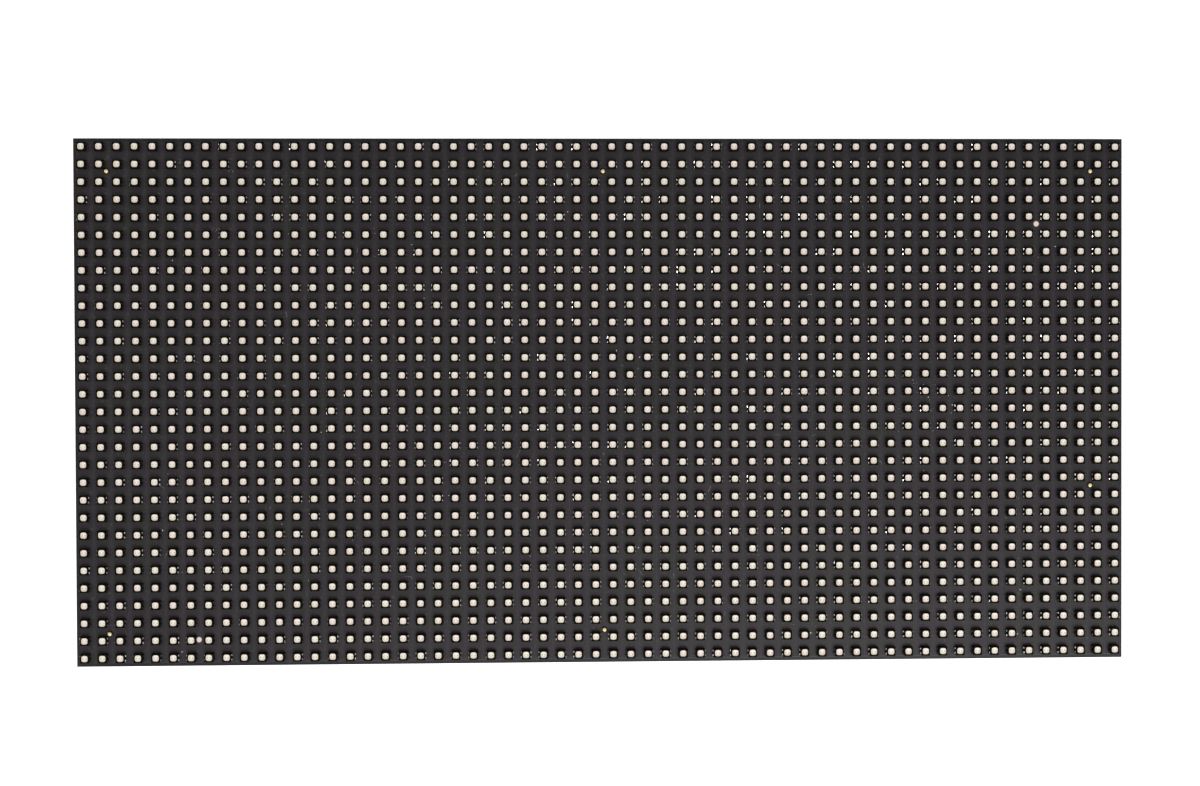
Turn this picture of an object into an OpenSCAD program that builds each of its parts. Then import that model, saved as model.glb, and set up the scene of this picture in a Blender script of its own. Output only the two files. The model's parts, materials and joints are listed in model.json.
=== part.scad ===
// A full-colour lamp panel without its mask: a black circuit board with a grid of
// surface-mounted lamps on its face, screwed from behind to a moulded frame.
// Z = 0 is the rear face of the frame, on which the panel lies. The lamps look along +Z,
// +X runs along the long side and +Y is the top edge of the panel when it hangs in a wall.

/* [Lamp grid] */
// Distance from one lamp to the next
pitch = 5.3333; // [5.3:0.0333:5.5]
// Number of lamps along the long side
columns = 60; // [58:2:64]
// Number of lamps along the short side, half of them on each data group
rows = 30; // [28:2:34]

/* [Lamp] */
// Width of the square lamp body
lamp_w = 2.7; // [2.3:0.1:3]
// Height of the lamp body above the board
lamp_h = 1.6; // [1.4:0.1:2.4]
// Thinnest part of the wall around the cup
lamp_wall = 0.3; // [0.2:0.05:0.5]
// Depth of the cup that holds the clear filling
cup_depth = 0.8; // [0.4:0.1:1.2]
// How far the filling lies below the rim of the cup
window_sink = 0.05; // [0:0.05:0.2]

/* [Circuit board] */
// Thickness of the board
board_t = 1.6; // [1.2:0.2:2.4]
// Room left at each side of the module, so that panels meet in a wall
edge_gap = 0.05; // [0:0.05:0.4]
// Diameter of the two alignment marks
mark_d = 1.5; // [1:0.1:2]
// Thickness of the metal in the alignment marks
mark_t = 0.05; // [0.03:0.01:0.1]

/* [Rear frame] */
// Depth of the frame, from the rear face to the board
frame_depth = 11.5; // [11:0.5:15]
// How far the frame stays inside the edge of the board
frame_inset = 0.2; // [0:0.1:0.4]
// Thickness of the outer wall
rim_t = 2.2; // [1.6:0.2:3]
// Thickness of the rear skin
plate_t = 2.4; // [1.6:0.2:3]
// Thickness of the collar around each window
rib_t = 1.6; // [1.2:0.2:2.4]
// Width of the skin between the outer edge and the windows
border_w = 15; // [14.6:0.2:16]
// Width of the bars between the windows
bar_w = 10; // [8.5:0.5:12]
// Width of the three tall windows with the connectors
tall_window_w = 37; // [35:1:40]
// Radius of the window corners
window_r = 3; // [1:0.5:5]
// Radius of the four outer corners
frame_r = 1.5; // [0.5:0.5:2]

/* [Fixings] */
// Distance from the edge of the module to the board fixings
fixing_inset = 10; // [9.8:0.1:10.4]
// Outer diameter of the brass standoffs
standoff_d = 5.5; // [4.5:0.5:6]
// Room kept around each standoff inside the frame
standoff_gap = 0.3; // [0.2:0.1:0.5]
// Diameter of the pin on a standoff that goes through the board
spigot_d = 1.9; // [1.2:0.1:2]
// Room around that pin in its hole
spigot_gap = 0.1; // [0.05:0.05:0.15]
// Diameter of the frame screws
screw_d = 3; // [2.5:0.5:3]
// Length of the screw thread that enters a standoff
screw_grip = 5; // [4:0.5:6]
// Room left at the end of the screw thread in a standoff
bore_end_gap = 0.5; // [0.3:0.1:1]
// Diameter of the screw head
screw_head_d = 5.6; // [5:0.2:6]
// Height of the screw head
screw_head_h = 2; // [1.6:0.2:2.2]
// Room around the screw and its head
screw_gap = 0.3; // [0.2:0.05:0.4]
// Thickness of the plastic under the screw head
seat_t = 1.7; // [1.4:0.1:2.2]
// Wall around the screw seats and the inserts
boss_wall = 1.5; // [1.2:0.1:1.6]
// Diameter of the brass mounting inserts
insert_d = 4.2; // [4:0.1:4.6]
// Length of the mounting inserts
insert_l = 6; // [5:0.5:7]
// Thread core diameter of the mounting inserts
insert_bore_d = 2.5; // [2:0.5:3]
// Distance of the four outer inserts from the middle, along the long side
insert_x = 100; // [96:1:104]
// Distance of all inserts from the edge of the module
insert_inset = 8; // [7.6:0.2:8.4]

/* [Connectors] */
// Number of pins in each of the two rows of a signal header
header_pins = 8; // [6:1:10]
// Distance between the pins of a signal header
header_pitch = 2.54; // [2.4:0.02:2.6]
// Width of the square signal pins
header_pin_w = 0.64; // [0.5:0.02:0.7]
// Height of the signal shroud
shroud_h = 8.8; // [7:0.1:9]
// Width of the signal shroud
shroud_w = 8.9; // [8.5:0.1:10]
// Thickness of the shroud's long walls
shroud_wall = 1.1; // [0.8:0.1:1.3]
// Plastic beyond the last pins, up to each end of the shroud
shroud_end = 5.1; // [4:0.1:6]
// Thickness of the shroud's end walls
shroud_end_wall = 2.2; // [1.5:0.1:2.5]
// Thickness of the shroud's floor
shroud_floor = 2.4; // [1.6:0.2:3]
// How far the pins end below the rim of the shroud
pin_tip_gap = 0.6; // [0.2:0.1:1]
// Width of the keyway in the shroud
keyway_w = 4.5; // [3.5:0.5:5]
// Number of power pins
power_pins = 4; // [2:1:5]
// Distance between the power pins
power_pitch = 3.96; // [3.5:0.02:4.2]
// Plastic beyond the middle of the last power pins
power_end = 1.95; // [1.5:0.05:3]
// Width of the square power pins
power_pin_w = 1.14; // [1:0.02:1.3]
// Height of the power pins and of the wall behind them
power_h = 9; // [8:0.2:9.4]
// Width of the power header's base
power_base_w = 8.5; // [7.5:0.5:10]
// Height of the power header's base
power_base_h = 2.8; // [2:0.2:4]
// Thickness of the wall behind the power pins
power_wall = 1.5; // [1:0.1:2]

/* [Driver chips] */
// Width of the narrow packages: column drivers, row switches and row decoders
chip_w = 3.9; // [3.5:0.1:4.5]
// Height of the narrow packages
chip_h = 1.6; // [1.2:0.1:2]
// Length of the column driver packages
driver_l = 8.65; // [7:0.05:9]
// Length of the row switch packages
switch_l = 4.9; // [4:0.1:6]
// Length of the row decoder packages
decoder_l = 9.9; // [8:0.1:11]
// Length of the line buffer packages
buffer_l = 12.8; // [10:0.1:15]
// Width of the line buffer packages
buffer_w = 7.5; // [6:0.1:8]
// Height of the line buffer packages
buffer_h = 2.3; // [1.8:0.1:2.6]
// Distance between two rows of column drivers
driver_step = 16; // [14:0.5:17]
// Distance from the middle of the board to the first row of column drivers
driver_start = 22; // [21:0.5:24]
// Distance from the middle of the board to the row switches
switch_aside = 9; // [7.5:0.5:10]
// Distance from a driver package to the line buffer beside it
buffer_gap = 6.6; // [6:0.2:7]

/* [Small parts] */
// Length of the bypass capacitors
bypass_l = 2; // [1.6:0.1:2.2]
// Width of the bypass capacitors
bypass_w = 1.25; // [0.8:0.05:1.4]
// Height of the bypass capacitors
bypass_h = 0.9; // [0.6:0.1:1.3]
// Length of the current-setting resistors
resistor_l = 1.6; // [1:0.1:2]
// Width of the current-setting resistors
resistor_w = 0.8; // [0.5:0.1:1.2]
// Height of the current-setting resistors
resistor_h = 0.5; // [0.3:0.1:0.7]
// Distance from a driver package to the small parts beside it
chip_gap = 2.2; // [1.5:0.1:3]
// Diameter of the electrolytic capacitors
can_d = 6.3; // [5:0.1:6.6]
// Height of the electrolytic capacitors, with their base
can_h = 7.7; // [5.4:0.1:9]
// Height of their plastic base
can_base_h = 0.8; // [0.5:0.1:1.2]
// Distance from the middle of the board to the electrolytic capacitors
can_aside = 12.5; // [11.5:0.5:14]
// Distance between two of them along the short side
can_step = 20; // [16:1:24]

/* [Hidden] */
$fn = 48;

// The module and its layers
module_w = columns * pitch;
module_h = rows * pitch;
board_w = module_w - 2 * edge_gap;
board_h = module_h - 2 * edge_gap;
frame_w = board_w - 2 * frame_inset;
frame_h = board_h - 2 * frame_inset;
board_z = frame_depth;
face_z = board_z + board_t;
cup_d = lamp_w - 2 * lamp_wall;

// The windows of the frame: three tall ones and four wide ones
bay_h = frame_h - 2 * border_w;
wide_window_w = (frame_w - 2 * border_w - 4 * bar_w - 3 * tall_window_w) / 2;
wide_window_h = (bay_h - bar_w) / 2;
tall_x = (frame_w - tall_window_w) / 2 - border_w;
wide_x = (tall_window_w + wide_window_w) / 2 + bar_w;
wide_y = (wide_window_h + bar_w) / 2;
tall_windows = [for (x = [-tall_x, 0, tall_x]) [x, 0, tall_window_w, bay_h]];
wide_windows = [for (x = [-wide_x, wide_x], y = [-wide_y, wide_y])
    [x, y, wide_window_w, wide_window_h]];
windows = concat(tall_windows, wide_windows);
bar_x = (tall_window_w + bar_w) / 2;
bar_places = [-tall_x + bar_x, -bar_x, bar_x, tall_x - bar_x];

// The board fixings: the lower right corner has none, and one sits at a third of that side
fix_x = module_w / 2 - fixing_inset;
fix_y = module_h / 2 - fixing_inset;
fixings = [[-fix_x, fix_y], [0, fix_y], [fix_x, fix_y],
    [-fix_x, -fix_y], [0, -fix_y], [fix_x, -module_h / 6]];
seat_depth = screw_head_h + screw_gap;
standoff_z = seat_depth + seat_t;
seat_d = screw_head_d + 2 * screw_gap;

// The mounting inserts: four near the corners and two at the middle of the short sides
insert_y = module_h / 2 - insert_inset;
insert_end_x = module_w / 2 - insert_inset;
inserts = [[-insert_x, insert_y], [insert_x, insert_y], [-insert_x, -insert_y],
    [insert_x, -insert_y], [-insert_end_x, 0], [insert_end_x, 0]];

// The electronics behind the board
shroud_l = (header_pins - 1) * header_pitch + 2 * shroud_end;
power_l = (power_pins - 1) * power_pitch + 2 * power_end;
driver_rows = [for (k = [0:2], s = [-1, 1]) s * (driver_start + k * driver_step)];
driver_places = [for (x = [-tall_x, -wide_x, wide_x, tall_x], y = driver_rows) [x, y]];
switch_rows = [for (k = [0:1], s = [-1, 1]) s * (driver_start + k * driver_step / 2)];
switch_places = [for (x = [-switch_aside, switch_aside], y = switch_rows) [x, y]];
decoder_y = driver_start + 2 * driver_step;
decoder_places = [[0, decoder_y], [0, -decoder_y]];
buffer_x = wide_x + (driver_l + buffer_w) / 2 + buffer_gap;
buffer_places = [[-buffer_x, wide_y], [-buffer_x, -wide_y], [buffer_x, wide_y]];
can_places = [for (x = [-can_aside, can_aside], y = [-can_step / 2, can_step / 2]) [x, y]];

// Marks that a placing machine reads, in lamp steps from the upper left lamp
mark_steps = [[54.5, 4.4], [6.4, 28]];

// How far each cut runs past the face that it opens
cut = 1;

function lamp_x(column) = (column - (columns - 1) / 2) * pitch;
function lamp_y(row) = ((rows - 1) / 2 - row) * pitch;

// A copy of the children at each place of a list
module at(places) {
    for (p = places)
        translate([p.x, p.y, 0])
            children();
}

// Turned over, so that it stands on the rear of the board and points away from the lamps
module behind_board() {
    translate([0, 0, board_z])
        mirror([0, 0, 1])
            children();
}

// A block centred in plan, standing on Z = 0
module block(size) {
    translate([-size.x / 2, -size.y / 2, 0])
        cube(size);
}

// A flat rectangle with round corners
module rounded_rectangle(w, h, r) {
    square([w, h - 2 * r], center = true);
    square([w - 2 * r, h], center = true);
    for (x = [-1, 1], y = [-1, 1])
        translate([x * (w / 2 - r), y * (h / 2 - r)])
            circle(r = r);
}

// Outlines at the lamps of one half of the panel
module lamp_grid(first_row) {
    for (column = [0:columns - 1], row = [first_row:first_row + rows / 2 - 1])
        translate([lamp_x(column), lamp_y(row)])
            children();
}

// Lamps: a black body with a round cup, and the clear filling of the cup
module lamp_bodies(first_row) {
    color("#1b1a1a")
        translate([0, 0, face_z])
            difference() {
                linear_extrude(lamp_h)
                    lamp_grid(first_row)
                        square(lamp_w, center = true);
                translate([0, 0, lamp_h - cup_depth])
                    linear_extrude(cup_depth + cut)
                        lamp_grid(first_row)
                            circle(d = cup_d);
            }
}

module lamp_windows(first_row) {
    color("#e8e0d2")
        translate([0, 0, face_z + lamp_h - cup_depth])
            linear_extrude(cup_depth - window_sink)
                lamp_grid(first_row)
                    circle(d = cup_d);
}

// The board, with a hole for the pin of each standoff
module circuit_board() {
    color("#2c2a2c")
        translate([0, 0, board_z])
            difference() {
                block([board_w, board_h, board_t]);
                translate([0, 0, -cut])
                    at(fixings)
                        cylinder(d = spigot_d + 2 * spigot_gap, h = board_t + 2 * cut);
            }
}

module alignment_marks() {
    color("#d9d3c8")
        for (step = mark_steps)
            translate([lamp_x(step.x), lamp_y(step.y), face_z])
                cylinder(d = mark_d, h = mark_t);
}

// The moulded frame: a rear skin with windows, a rim, a collar around each window,
// screw seats for the board and blind bosses for the mounting inserts
module frame_windows(grow) {
    for (w = windows)
        translate([w[0], w[1]])
            rounded_rectangle(w[2] + 2 * grow, w[3] + 2 * grow, window_r + grow);
}

// Stiffening ribs across the border at the bars and in the middle of the short sides,
// and across each bar at both of its ends
module frame_ribs() {
    for (x = bar_places, side = [-1, 1]) {
        translate([x, side * (frame_h - border_w) / 2, 0])
            block([rib_t, border_w, frame_depth]);
        translate([x, side * (bay_h + rib_t) / 2, 0])
            block([bar_w, rib_t, frame_depth]);
    }
    for (side = [-1, 1])
        translate([side * (frame_w - border_w) / 2, 0, 0])
            block([border_w, rib_t, frame_depth]);
}

module frame_walls() {
    linear_extrude(plate_t)
        rounded_rectangle(frame_w, frame_h, frame_r);
    linear_extrude(frame_depth)
        difference() {
            rounded_rectangle(frame_w, frame_h, frame_r);
            square([frame_w - 2 * rim_t, frame_h - 2 * rim_t], center = true);
        }
    linear_extrude(frame_depth)
        frame_windows(rib_t);
    frame_ribs();
    at(fixings)
        cylinder(d = seat_d + 2 * boss_wall, h = standoff_z);
    at(inserts)
        cylinder(d = insert_d + 2 * boss_wall, h = insert_l + boss_wall);
}

module rear_frame() {
    color("#1d1d1f")
        difference() {
            frame_walls();
            translate([0, 0, -cut])
                linear_extrude(frame_depth + 2 * cut)
                    frame_windows(0);
            translate([0, 0, -cut])
                at(fixings) {
                    cylinder(d = screw_d + 2 * screw_gap, h = standoff_z + 2 * cut);
                    cylinder(d = seat_d, h = seat_depth + cut);
                }
            translate([0, 0, -cut])
                at(inserts)
                    cylinder(d = insert_d, h = insert_l + cut);
            translate([0, 0, standoff_z])
                at(fixings)
                    cylinder(d = standoff_d + 2 * standoff_gap, h = frame_depth);
        }
}

// Brass standoffs soldered to the board, each with a thin pin through it
module board_standoffs() {
    color("#b8923f")
        at(fixings)
            difference() {
                union() {
                    translate([0, 0, standoff_z])
                        cylinder(d = standoff_d, h = board_z - standoff_z);
                    translate([0, 0, board_z])
                        cylinder(d = spigot_d, h = board_t);
                }
                translate([0, 0, -cut])
                    cylinder(d = screw_d, h = standoff_z + screw_grip + bore_end_gap + cut);
            }
}

module frame_screws() {
    screw_z = seat_depth - screw_head_h;
    color("#8c8c90")
        at(fixings) {
            translate([0, 0, screw_z])
                cylinder(d = screw_head_d, h = screw_head_h);
            translate([0, 0, seat_depth])
                cylinder(d = screw_d, h = seat_t + screw_grip);
        }
}

module mounting_inserts() {
    color("#c29a45")
        at(inserts)
            difference() {
                cylinder(d = insert_d, h = insert_l);
                translate([0, 0, -cut])
                    cylinder(d = insert_bore_d, h = insert_l + 2 * cut);
            }
}

// Chips and small parts on the rear of the board
module packages(places, size) {
    behind_board()
        at(places)
            block(size);
}

module column_drivers() {
    color("#262628")
        packages(driver_places, [driver_l, chip_w, chip_h]);
}

module row_switches() {
    color("#2a2a2c")
        packages(switch_places, [switch_l, chip_w, chip_h]);
}

module row_decoders() {
    color("#2a2a2c")
        packages(decoder_places, [decoder_l, chip_w, chip_h]);
}

module line_buffers() {
    color("#242426")
        packages(buffer_places, [buffer_w, buffer_l, buffer_h]);
}

module bypass_capacitors() {
    offset_x = (driver_l + bypass_w) / 2 + chip_gap;
    color("#b9a383")
        translate([offset_x, 0, 0])
            packages(driver_places, [bypass_w, bypass_l, bypass_h]);
}

module current_resistors() {
    offset_x = (driver_l + resistor_w) / 2 + chip_gap;
    color("#3a3a3e")
        translate([-offset_x, 0, 0])
            packages(driver_places, [resistor_w, resistor_l, resistor_h]);
}

module capacitor_bases() {
    color("#1f1f21")
        packages(can_places, [can_d, can_d, can_base_h]);
}

module capacitor_cans() {
    color("#c9c9cc")
        behind_board()
            at(can_places)
                translate([0, 0, can_base_h])
                    cylinder(d = can_d, h = can_h - can_base_h);
}

// Signal headers: a keyed shroud around two rows of pins that pass through its floor
module signal_pin_rows(h) {
    for (k = [0:header_pins - 1], s = [-1, 1])
        translate([s * header_pitch / 2, (k - (header_pins - 1) / 2) * header_pitch, 0])
            block([header_pin_w, header_pin_w, h]);
}

module signal_header(x) {
    color("#232325")
        behind_board()
            translate([x, 0, 0])
                difference() {
                    block([shroud_w, shroud_l, shroud_h]);
                    translate([0, 0, shroud_floor])
                        block([shroud_w - 2 * shroud_wall, shroud_l - 2 * shroud_end_wall, shroud_h]);
                    translate([shroud_w / 2, 0, shroud_floor])
                        block([2 * shroud_wall + cut, keyway_w, shroud_h]);
                    translate([0, 0, -cut])
                        signal_pin_rows(shroud_floor + 2 * cut);
                }
}

module signal_pins(x) {
    color("#c9a860")
        behind_board()
            translate([x, 0, 0])
                signal_pin_rows(shroud_h - pin_tip_gap);
}

// Power header: a base with a high wall behind one row of stout pins
module power_pin_row(h) {
    for (k = [0:power_pins - 1])
        translate([0, (k - (power_pins - 1) / 2) * power_pitch, 0])
            block([power_pin_w, power_pin_w, h]);
}

module power_header() {
    wall_x = (power_base_w - power_wall) / 2;
    color("#e6e2d8")
        behind_board()
            difference() {
                union() {
                    block([power_base_w, power_l, power_base_h]);
                    translate([wall_x, 0, 0])
                        block([power_wall, power_l, power_h]);
                }
                translate([0, 0, -cut])
                    power_pin_row(power_base_h + 2 * cut);
            }
}

module power_terminals() {
    color("#cfcfd2")
        behind_board()
            power_pin_row(power_h);
}

circuit_board();
lamp_bodies(0);  // lamp_bodies_upper
lamp_bodies(rows / 2);  // lamp_bodies_lower
lamp_windows(0);  // lamp_windows_upper
lamp_windows(rows / 2);  // lamp_windows_lower
alignment_marks();
rear_frame();
board_standoffs();
frame_screws();
mounting_inserts();
column_drivers();
row_switches();
row_decoders();
line_buffers();
signal_header(-tall_x);  // input_header
signal_pins(-tall_x);  // input_pins
signal_header(tall_x);  // output_header
signal_pins(tall_x);  // output_pins
power_header();
power_terminals();
capacitor_cans();
capacitor_bases();
bypass_capacitors();
current_resistors();
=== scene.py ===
# %% [markdown]
# # A bare lamp panel, lamp by lamp
# The object is a full-colour display panel without its mask: a black circuit board that
# carries a dense square grid of lamps, held from behind by a moulded frame. The frame, the
# board and every connector come from the construction model and stay where they are. This
# lesson adds what the eye reads up close: the shaped lamps with their solder, the leads of
# the chips, the finish of each surface and the light. Lengths are written in millimetres and
# turned into metres.
# %% Load the construction model
import json
import math
import random

import bmesh
import bpy
import numpy as np
from mathutils import Euler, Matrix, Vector

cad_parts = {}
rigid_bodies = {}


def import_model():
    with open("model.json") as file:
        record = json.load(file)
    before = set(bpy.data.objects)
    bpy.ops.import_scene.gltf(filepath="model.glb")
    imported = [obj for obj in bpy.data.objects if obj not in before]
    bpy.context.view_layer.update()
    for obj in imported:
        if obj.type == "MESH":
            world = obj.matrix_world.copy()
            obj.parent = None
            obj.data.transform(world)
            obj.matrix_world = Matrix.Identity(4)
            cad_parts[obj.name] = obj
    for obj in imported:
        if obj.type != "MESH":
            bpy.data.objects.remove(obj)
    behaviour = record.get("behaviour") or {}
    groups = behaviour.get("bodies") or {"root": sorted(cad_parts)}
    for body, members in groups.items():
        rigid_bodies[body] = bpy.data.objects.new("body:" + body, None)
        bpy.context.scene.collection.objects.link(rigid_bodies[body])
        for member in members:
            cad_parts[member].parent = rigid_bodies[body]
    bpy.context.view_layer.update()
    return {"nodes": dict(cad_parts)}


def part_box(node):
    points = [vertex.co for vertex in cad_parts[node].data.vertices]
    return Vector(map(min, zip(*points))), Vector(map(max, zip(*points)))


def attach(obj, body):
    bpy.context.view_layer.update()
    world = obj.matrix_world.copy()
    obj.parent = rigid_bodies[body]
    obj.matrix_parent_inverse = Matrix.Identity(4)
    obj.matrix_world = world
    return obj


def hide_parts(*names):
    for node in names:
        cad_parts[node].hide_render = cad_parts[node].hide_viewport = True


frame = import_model()
MM = 0.001
nodes = frame["nodes"]

# %% [markdown]
# ## Where the lamps are
# Everything on the face repeats with the lamp step, so the step is measured once, from the
# construction model: the distance between the outermost lamp bodies, less one body, divided
# by the number of gaps between them. The same numbers then place the visible lamps, the
# solder, the copper tracks and the dust.
# %% Measure the lamp grid
COLUMNS, ROWS = 60, 30
HALF_ROWS = ROWS // 2
BODY_W = 2.7 * MM
upper_low, upper_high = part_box("lamp_bodies_upper")
board_low, board_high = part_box("circuit_board")
STEP = (upper_high.x - upper_low.x - BODY_W) / (COLUMNS - 1)
FACE_Z = board_high.z
REAR_Z = board_low.z
LAMP_H = upper_high.z - FACE_Z


def lamp_place(column, row):
    """Middle of a lamp on the board's face; row 0 is the top row, and parts of a step count."""
    x = (column - (COLUMNS - 1) / 2) * STEP
    y = ((ROWS - 1) / 2 - row) * STEP
    return Vector((x, y, FACE_Z))


print("lamp step in mm:", round(STEP / MM, 4), "lamp height in mm:", round(LAMP_H / MM, 2))

# %% [markdown]
# ## The camera
# The panel lies on its back, so the camera looks straight down on it from about half a
# metre. A small side step and a tilt of one or two degrees make one end of the grid a little
# larger, as with a camera held by hand. A lens of 53 mm keeps that perspective mild.
# %% Set up the camera
CAMERA_ABOVE_LAMPS = 536.2 * MM
CAMERA_ASIDE = (-19.6 * MM, 9.92 * MM)
CAMERA_TILT = (-0.794, -1.971, -0.216)
SENSOR_W, LENS = 36.0, 52.86
scene = bpy.context.scene
camera_data = bpy.data.cameras.new("camera")
camera_data.sensor_width = SENSOR_W
camera_data.lens = LENS
camera = bpy.data.objects.new("camera", camera_data)
camera.location = (*CAMERA_ASIDE, FACE_Z + LAMP_H + CAMERA_ABOVE_LAMPS)
camera.rotation_euler = Euler([math.radians(angle) for angle in CAMERA_TILT], "XYZ")
scene.collection.objects.link(camera)
scene.camera = camera
print("camera stands", round(CAMERA_ABOVE_LAMPS, 3), "m above the lamps")

# %% [markdown]
# ## Light
# A black board shows little but what it mirrors, so its tone is set by the surroundings more
# than by the lacquer. An even pale room gives the base, and one wide soft light beyond the
# lower edge makes the board and the lamp windows a little brighter towards that side. A weak
# low light from the left glints on the solder. One more below serves whoever looks at the rear.
# %% Light the studio
ROOM_LIGHT = 0.375
ROOM_TONE = (1.0, 0.985, 1.0, 1)
scene.view_settings.view_transform = "Standard"
scene.view_settings.look = "None"
world = bpy.data.worlds.new("studio")
world.use_nodes = True
room = world.node_tree.nodes["Background"]
room.inputs["Color"].default_value = ROOM_TONE
room.inputs["Strength"].default_value = ROOM_LIGHT
scene.world = world


def soft_light(name, place, size, power):
    """A square area light at place that faces the middle of the panel."""
    data = bpy.data.lights.new(name, "AREA")
    data.shape = "SQUARE"
    data.size = size
    data.energy = power
    light = bpy.data.objects.new(name, data)
    light.location = place
    light.rotation_euler = (-Vector(place)).to_track_quat("-Z", "Y").to_euler()
    scene.collection.objects.link(light)


soft_light("window_light", (0.24, -0.82, 0.82), 1.1, 13.5)
soft_light("low_light", (-1.1, 0.15, 0.48), 0.3, 2.6)
soft_light("rear_light", (0.3, -0.4, -1.2), 0.9, 34)

# %% [markdown]
# ## Tools for materials
# A procedural material is a small chain of nodes. A few helpers keep the chains readable: one
# adds a node with its settings, one makes a maths node, one mixes two colours. What several
# materials share becomes a node group with named sockets, made once and placed with its own
# values in each.
# %% Node helpers


def add(tree, kind, inputs=None, **settings):
    """Adds a node; inputs gives values or outputs of other nodes by socket name or number."""
    made = tree.nodes.new("ShaderNode" + kind)
    for key, value in settings.items():
        setattr(made, key, value)
    for key, value in (inputs or {}).items():
        if isinstance(value, bpy.types.NodeSocket):
            tree.links.new(value, made.inputs[key])
        else:
            made.inputs[key].default_value = value
    return made


def calc(tree, operation, *values):
    """The output of a maths node with these inputs."""
    return add(tree, "Math", dict(enumerate(values)), operation=operation).outputs[0]


def ramp(tree, value, low, high, to_low=0.0, to_high=1.0):
    """to_low where value is low, to_high where it is high, and smooth in between."""
    made = add(tree, "MapRange", {"Value": value, "From Min": low, "From Max": high,
                                  "To Min": to_low, "To Max": to_high}, interpolation_type="SMOOTHSTEP")
    return made.outputs["Result"]


def band(tree, value, centre, half_width, soft):
    """1 where value is within half_width of centre, falling smoothly to 0 over soft."""
    away = calc(tree, "ABSOLUTE", calc(tree, "SUBTRACT", value, centre))
    return ramp(tree, away, half_width, half_width + soft, 1.0, 0.0)


def mix_colour(tree, factor, low, high):
    """A colour between low and high; each is a colour output or three numbers."""
    ends = [(*value, 1) if isinstance(value, tuple) else value for value in (low, high)]
    made = add(tree, "Mix", {"Factor": factor, "A": ends[0], "B": ends[1]}, data_type="RGBA")
    return made.outputs["Result"]


def group_tree(name, inputs, outputs):
    """An empty node group with named float inputs and outputs; returns it and its two ends."""
    tree = bpy.data.node_groups.new(name, "ShaderNodeTree")
    for socket_name, value in inputs.items():
        socket = tree.interface.new_socket(socket_name, in_out="INPUT", socket_type="NodeSocketFloat")
        socket.default_value = value
    for socket_name in outputs:
        tree.interface.new_socket(socket_name, in_out="OUTPUT", socket_type="NodeSocketFloat")
    return tree, tree.nodes.new("NodeGroupInput"), tree.nodes.new("NodeGroupOutput")


def place_group(tree, group, inputs=None):
    """Places a node group in a material with its own values."""
    made = add(tree, "Group", node_tree=group)
    for key, value in (inputs or {}).items():
        made.inputs[key].default_value = value
    return made


def finish_material(name, metallic=0.0, **sockets):
    """A material with a Principled shader; sockets are the values that are the same all over."""
    material = bpy.data.materials.new(name)
    material.use_nodes = True
    shader = material.node_tree.nodes["Principled BSDF"]
    shader.inputs["Metallic"].default_value = metallic
    for key, value in sockets.items():
        shader.inputs[key.replace("_", " ")].default_value = value
    return material, material.node_tree, shader


def bump(tree, shader, height, strength, distance):
    """Turns a height into the shader's normal."""
    made = add(tree, "Bump", {"Height": height, "Strength": strength, "Distance": distance})
    tree.links.new(made.outputs["Normal"], shader.inputs["Normal"])


def own_place(tree):
    """The point's place on the piece; every piece has its origin at the panel's."""
    return add(tree, "TexCoord").outputs["Object"]


def upright(tree):
    """1 where the surface faces straight up, 0 on a wall, -1 where it faces down."""
    return add(tree, "SeparateXYZ", {0: add(tree, "NewGeometry").outputs["Normal"]}).outputs[2]


print("node helpers ready")

# %% [markdown]
# ## The floor
# The floor is one large pale sheet that glows faintly, like a light table, so the panel
# throws no hard shadow on it. Its back is clear: from below, the sheet can't be seen.
# %% Lay the floor
FLOOR_HALF = 3.0
FLOOR_Z = -0.2 * MM
FLOOR_GLOW = 0.8
FLOOR_TONE = (0.93, 0.93, 0.93, 1)


def mesh_object(name, points, faces):
    """A mesh object made of points and faces, linked to the scene."""
    mesh = bpy.data.meshes.new(name)
    mesh.from_pydata([tuple(p) for p in points], [], faces)
    mesh.update()
    made = bpy.data.objects.new(name, mesh)
    scene.collection.objects.link(made)
    return made


floor_corners = [(-1, -1), (1, -1), (1, 1), (-1, 1)]
floor = mesh_object("floor", [(x * FLOOR_HALF, y * FLOOR_HALF, FLOOR_Z) for x, y in floor_corners],
                    [(0, 1, 2, 3)])
pale_floor, tree, shader = finish_material("pale_floor", Roughness=0.9, Emission_Strength=FLOOR_GLOW,
                                           Base_Color=FLOOR_TONE, Emission_Color=(1, 1, 1, 1))
seen_from_above = calc(tree, "SUBTRACT", 1.0, add(tree, "NewGeometry").outputs["Backfacing"])
tree.links.new(seen_from_above, shader.inputs["Alpha"])
floor.data.materials.append(pale_floor)
print("floor laid, half width", FLOOR_HALF, "m")

# %% [markdown]
# ## Shared effect 1: the lamp cell
# Many marks repeat with the lamps but differ a little from one to the next. This group turns
# a point into its place inside one lamp's square cell, from -0.5 to 0.5 across and up, and
# gives each cell two chance values that stay the same all over it.
# %% Build the lamp cell group
lamp_cell, ends_in, ends_out = group_tree("lamp_cell", {"Cells per metre": 1 / STEP},
                                          ["Across", "Up", "Chance", "Other chance"])
scaled = add(lamp_cell, "VectorMath", {0: own_place(lamp_cell), "Scale": ends_in.outputs[0]},
             operation="SCALE")
cell = add(lamp_cell, "VectorMath", {0: scaled.outputs[0]}, operation="FLOOR")
inside = add(lamp_cell, "VectorMath", {0: scaled.outputs[0]}, operation="FRACTION")
parts = add(lamp_cell, "SeparateXYZ", {0: inside.outputs[0]})
flat_cell = add(lamp_cell, "VectorMath", {0: cell.outputs[0], 1: (1, 1, 0)}, operation="MULTIPLY")
chance = add(lamp_cell, "TexWhiteNoise", {"Vector": flat_cell.outputs[0]}, noise_dimensions="2D")
colours = add(lamp_cell, "SeparateColor", {0: chance.outputs["Color"]})
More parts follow.
